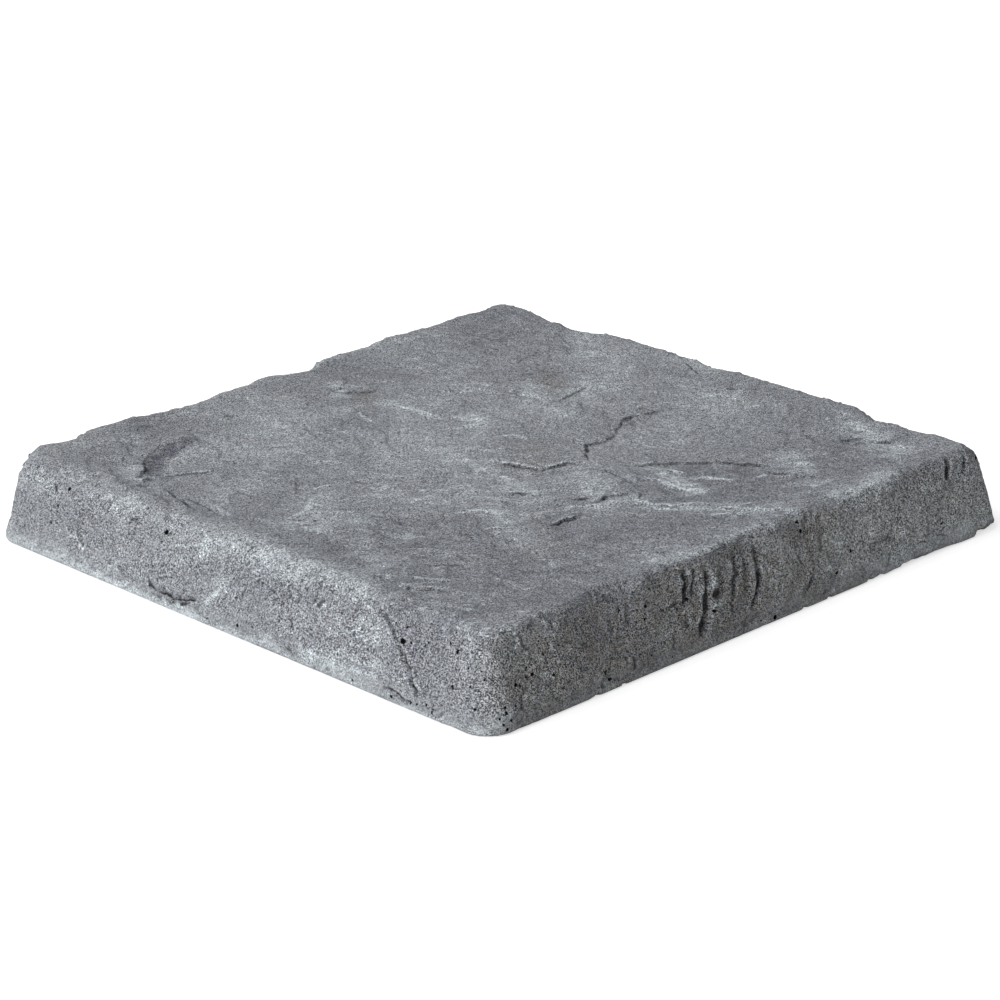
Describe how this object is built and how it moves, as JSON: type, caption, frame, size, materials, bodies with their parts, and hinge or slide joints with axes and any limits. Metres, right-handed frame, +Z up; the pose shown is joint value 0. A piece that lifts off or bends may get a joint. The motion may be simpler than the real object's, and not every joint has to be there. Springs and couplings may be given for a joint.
{
  "type": "concrete stepping stone",
  "caption": "Square wet-cast concrete stepping stone with a slate-textured tread, hewn leaning sides and a flat bed.",
  "frame": {"origin": "middle of the flat bed that the stone lies on", "axes": "+Z up out of the tread, -Y out of the front side and +X out of the right side"},
  "size_m": [0.4064, 0.4064, 0.0508],
  "materials": {
    "concrete": "matte"
  },
  "bodies": {
    "root": {"stepping_stone": "concrete"}
  },
  "joints": []
}
